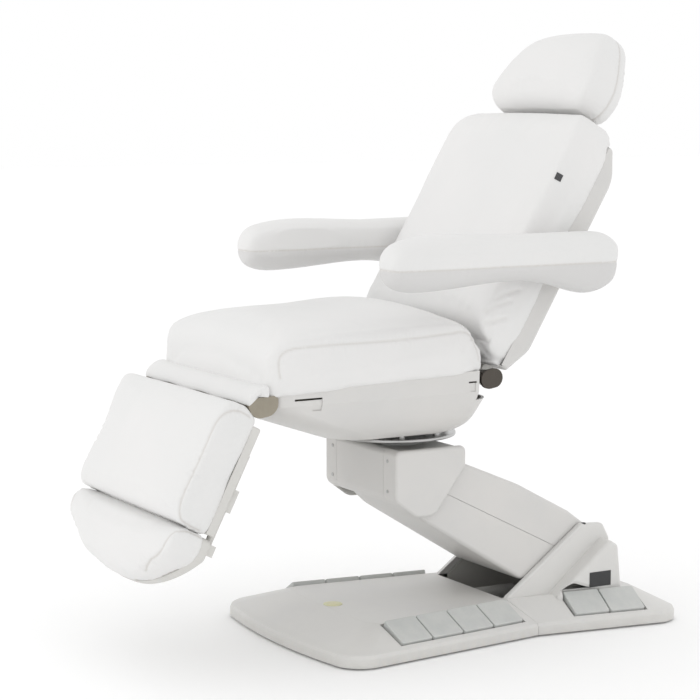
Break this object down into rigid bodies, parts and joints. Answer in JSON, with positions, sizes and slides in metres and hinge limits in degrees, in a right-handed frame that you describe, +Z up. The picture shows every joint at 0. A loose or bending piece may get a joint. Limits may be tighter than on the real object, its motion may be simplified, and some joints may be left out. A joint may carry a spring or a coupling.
{
  "type": "electric treatment chair",
  "caption": "Padded clinic chair that lies flat as a massage table, with folding armrests, sliding headrest and footrest, swivel, lifting arm and a floor base with foot pedals.",
  "frame": {"origin": "on the floor, under the middle of the chair's length and width as it stands at rest", "axes": "+Z up, -Y towards the foot end, +X towards the sitter's left"},
  "size_m": [0.7838, 1.3746, 1.3993],
  "materials": {
    "upholstery": "satin",
    "cover": "satin",
    "pedal": "matte",
    "frame": "satin",
    "bright_steel": "satin",
    "dark_plastic": "matte",
    "rubber": "matte"
  },
  "bodies": {
    "base": {"base_plate": "frame", "feet": "rubber", "tower_plates": "frame", "front_cover": "cover", "rear_cover": "cover", "blank_plate": "dark_plastic", "mains_inlet": "dark_plastic", "control_box": "dark_plastic", "lift_motor": "dark_plastic", "lower_axle": "bright_steel", "pedal_pins": "bright_steel"},
    "lift_arm": {"arm_beam": "frame", "arm_cover_upper": "cover", "arm_cover_lower": "cover"},
    "tie_rod": {"tie_rod": "bright_steel"},
    "lift_rod": {"lift_rod": "bright_steel"},
    "lift_head": {"head_frame": "frame", "head_cheeks": "cover", "head_panel": "cover", "head_screws": "bright_steel", "head_axle": "bright_steel", "swivel_bearing": "bright_steel"},
    "seat": {"swivel_disc": "bright_steel", "seat_frame": "frame", "seat_shell": "cover", "seat_cushion": "upholstery", "hinge_plates": "frame", "back_motor": "dark_plastic", "leg_motor": "dark_plastic"},
    "backrest": {"back_frame": "frame", "back_shell": "cover", "back_cushion": "upholstery"},
    "back_rod": {"back_rod": "bright_steel"},
    "leg_rod": {"leg_rod": "bright_steel"},
    "arm_hub_left": {"arm_hub_left": "cover"},
    "arm_hub_right": {"arm_hub_right": "cover"},
    "armrest_left": {"armrest_pad_left": "upholstery", "armrest_tray_left": "upholstery"},
    "armrest_right": {"armrest_pad_right": "upholstery", "armrest_tray_right": "upholstery"},
    "headrest_carrier": {"headrest_bar": "bright_steel"},
    "headrest": {"headrest_board": "cover", "headrest_cushion": "upholstery"},
    "legrest": {"legrest_frame": "frame", "legrest_board": "cover", "legrest_cushion": "upholstery"},
    "footrest": {"footrest_board": "cover", "footrest_cushion": "upholstery"},
    "pedal_left_front_1": {"pedal_left_front_1": "pedal"},
    "pedal_left_front_2": {"pedal_left_front_2": "pedal"},
    "pedal_left_front_3": {"pedal_left_front_3": "pedal"},
    "pedal_left_front_4": {"pedal_left_front_4": "pedal"},
    "pedal_right_front_1": {"pedal_right_front_1": "pedal"},
    "pedal_right_front_2": {"pedal_right_front_2": "pedal"},
    "pedal_right_front_3": {"pedal_right_front_3": "pedal"},
    "pedal_right_front_4": {"pedal_right_front_4": "pedal"},
    "pedal_left_rear_1": {"pedal_left_rear_1": "pedal"},
    "pedal_left_rear_2": {"pedal_left_rear_2": "pedal"},
    "pedal_right_rear_1": {"pedal_right_rear_1": "pedal"},
    "pedal_right_rear_2": {"pedal_right_rear_2": "pedal"}
  },
  "joints": [
    {"name": "pedal_left_front_1_press", "type": "hinge", "parent": "base", "child": "pedal_left_front_1", "pos_m": [0.19621, 0.07207, 0.06231], "axis": [-0.1197, 0.9928, 0], "range_deg": [0, 4], "stiffness_Nm_per_rad": 3, "springref_deg": -5.73},
    {"name": "pedal_left_front_2_press", "type": "hinge", "parent": "base", "child": "pedal_left_front_2", "pos_m": [0.19621, 0.07207, 0.06231], "axis": [-0.1197, 0.9928, 0], "range_deg": [0, 4], "stiffness_Nm_per_rad": 3, "springref_deg": -5.73},
    {"name": "pedal_left_front_3_press", "type": "hinge", "parent": "base", "child": "pedal_left_front_3", "pos_m": [0.19621, 0.07207, 0.06231], "axis": [-0.1197, 0.9928, 0], "range_deg": [0, 4], "stiffness_Nm_per_rad": 3, "springref_deg": -5.73},
    {"name": "pedal_left_front_4_press", "type": "hinge", "parent": "base", "child": "pedal_left_front_4", "pos_m": [0.19621, 0.07207, 0.06231], "axis": [-0.1197, 0.9928, 0], "range_deg": [0, 4], "stiffness_Nm_per_rad": 3, "springref_deg": -5.73},
    {"name": "pedal_right_front_1_press", "type": "hinge", "parent": "base", "child": "pedal_right_front_1", "pos_m": [-0.19621, 0.07207, 0.06231], "axis": [-0.1197, -0.9928, 0], "range_deg": [0, 4], "stiffness_Nm_per_rad": 3, "springref_deg": -5.73},
    {"name": "pedal_right_front_2_press", "type": "hinge", "parent": "base", "child": "pedal_right_front_2", "pos_m": [-0.19621, 0.07207, 0.06231], "axis": [-0.1197, -0.9928, 0], "range_deg": [0, 4], "stiffness_Nm_per_rad": 3, "springref_deg": -5.73},
    {"name": "pedal_right_front_3_press", "type": "hinge", "parent": "base", "child": "pedal_right_front_3", "pos_m": [-0.19621, 0.07207, 0.06231], "axis": [-0.1197, -0.9928, 0], "range_deg": [0, 4], "stiffness_Nm_per_rad": 3, "springref_deg": -5.73},
    {"name": "pedal_right_front_4_press", "type": "hinge", "parent": "base", "child": "pedal_right_front_4", "pos_m": [-0.19621, 0.07207, 0.06231], "axis": [-0.1197, -0.9928, 0], "range_deg": [0, 4], "stiffness_Nm_per_rad": 3, "springref_deg": -5.73},
    {"name": "pedal_left_rear_1_press", "type": "hinge", "parent": "base", "child": "pedal_left_rear_1", "pos_m": [0.20111, 0.49883, 0.06282], "axis": [0.1476, 0.989, 0], "range_deg": [0, 4], "stiffness_Nm_per_rad": 3, "springref_deg": -5.73},
    {"name": "pedal_left_rear_2_press", "type": "hinge", "parent": "base", "child": "pedal_left_rear_2", "pos_m": [0.20111, 0.49883, 0.06282], "axis": [0.1476, 0.989, 0], "range_deg": [0, 4], "stiffness_Nm_per_rad": 3, "springref_deg": -5.73},
    {"name": "pedal_right_rear_1_press", "type": "hinge", "parent": "base", "child": "pedal_right_rear_1", "pos_m": [-0.20111, 0.49883, 0.06282], "axis": [0.1476, -0.989, 0], "range_deg": [0, 4], "stiffness_Nm_per_rad": 3, "springref_deg": -5.73},
    {"name": "pedal_right_rear_2_press", "type": "hinge", "parent": "base", "child": "pedal_right_rear_2", "pos_m": [-0.20111, 0.49883, 0.06282], "axis": [0.1476, -0.989, 0], "range_deg": [0, 4], "stiffness_Nm_per_rad": 3, "springref_deg": -5.73},
    {"name": "lift", "type": "hinge", "parent": "base", "child": "lift_arm", "pos_m": [0, 0.485, 0.175], "axis": [-1, 0, 0], "range_deg": [-9, 30]},
    {"name": "tie_rod_turn", "type": "hinge", "parent": "base", "child": "tie_rod", "pos_m": [0, 0.50464, 0.20275], "axis": [-1, 0, 0], "range_deg": [-9, 30]},
    {"name": "lift_rod_slide", "type": "slide", "parent": "base", "child": "lift_rod", "axis": [0, -1, 0], "range_m": [-0.0199, 0.0661]},
    {"name": "head_level", "type": "hinge", "parent": "lift_arm", "child": "lift_head", "pos_m": [0, 0.08, 0.362], "axis": [-1, 0, 0], "range_deg": [-30, 9]},
    {"name": "swivel", "type": "hinge", "parent": "lift_head", "child": "seat", "pos_m": [0, 0.051, 0.463], "axis": [0, 0, 1], "range_deg": [-120, 120]},
    {"name": "recline", "type": "hinge", "parent": "seat", "child": "backrest", "pos_m": [0, 0.158, 0.618], "axis": [1, 0, 0], "range_deg": [-59, 8]},
    {"name": "back_rod_slide", "type": "slide", "parent": "seat", "child": "back_rod", "axis": [0, 1, 0], "range_m": [-0.0474, 0.0065]},
    {"name": "leg_lift", "type": "hinge", "parent": "seat", "child": "legrest", "pos_m": [0, -0.435, 0.6], "axis": [-1, 0, 0], "range_deg": [-12, 65]},
    {"name": "leg_rod_slide", "type": "slide", "parent": "seat", "child": "leg_rod", "axis": [0, -1, 0], "range_m": [-0.0096, 0.0515]},
    {"name": "footrest_slide", "type": "slide", "parent": "legrest", "child": "footrest", "axis": [0, -0.454, -0.891], "range_m": [0, 0.08]},
    {"name": "arm_hub_left_level", "type": "hinge", "parent": "backrest", "child": "arm_hub_left", "pos_m": [0.283, 0.32656, 0.85971], "axis": [1, 0, 0], "range_deg": [-8, 59]},
    {"name": "armrest_left_fold", "type": "hinge", "parent": "arm_hub_left", "child": "armrest_left", "pos_m": [0.283, 0.32656, 0.85971], "axis": [-1, 0, 0], "range_deg": [0, 90]},
    {"name": "arm_hub_right_level", "type": "hinge", "parent": "backrest", "child": "arm_hub_right", "pos_m": [-0.283, 0.32656, 0.85971], "axis": [1, 0, 0], "range_deg": [-8, 59]},
    {"name": "armrest_right_fold", "type": "hinge", "parent": "arm_hub_right", "child": "armrest_right", "pos_m": [-0.283, 0.32656, 0.85971], "axis": [-1, 0, 0], "range_deg": [0, 90]},
    {"name": "headrest_slide", "type": "slide", "parent": "backrest", "child": "headrest_carrier", "axis": [0, 0.515, 0.8572], "range_m": [0, 0.09]},
    {"name": "headrest_tilt", "type": "hinge", "parent": "headrest_carrier", "child": "headrest", "pos_m": [0, 0.54012, 1.19571], "axis": [1, 0, 0], "range_deg": [-40, 4]}
  ],
  "couplings": [
    {"joint": "tie_rod_turn", "follows": "lift", "ratio": 1},
    {"joint": "lift_rod_slide", "follows": "lift", "m_per_rad": 0.12621},
    {"joint": "head_level", "follows": "lift", "ratio": -1},
    {"joint": "back_rod_slide", "follows": "recline", "m_per_rad": 0.04598},
    {"joint": "leg_rod_slide", "follows": "leg_lift", "m_per_rad": 0.04536},
    {"joint": "arm_hub_left_level", "follows": "recline", "ratio": -1},
    {"joint": "arm_hub_right_level", "follows": "recline", "ratio": -1}
  ]
}
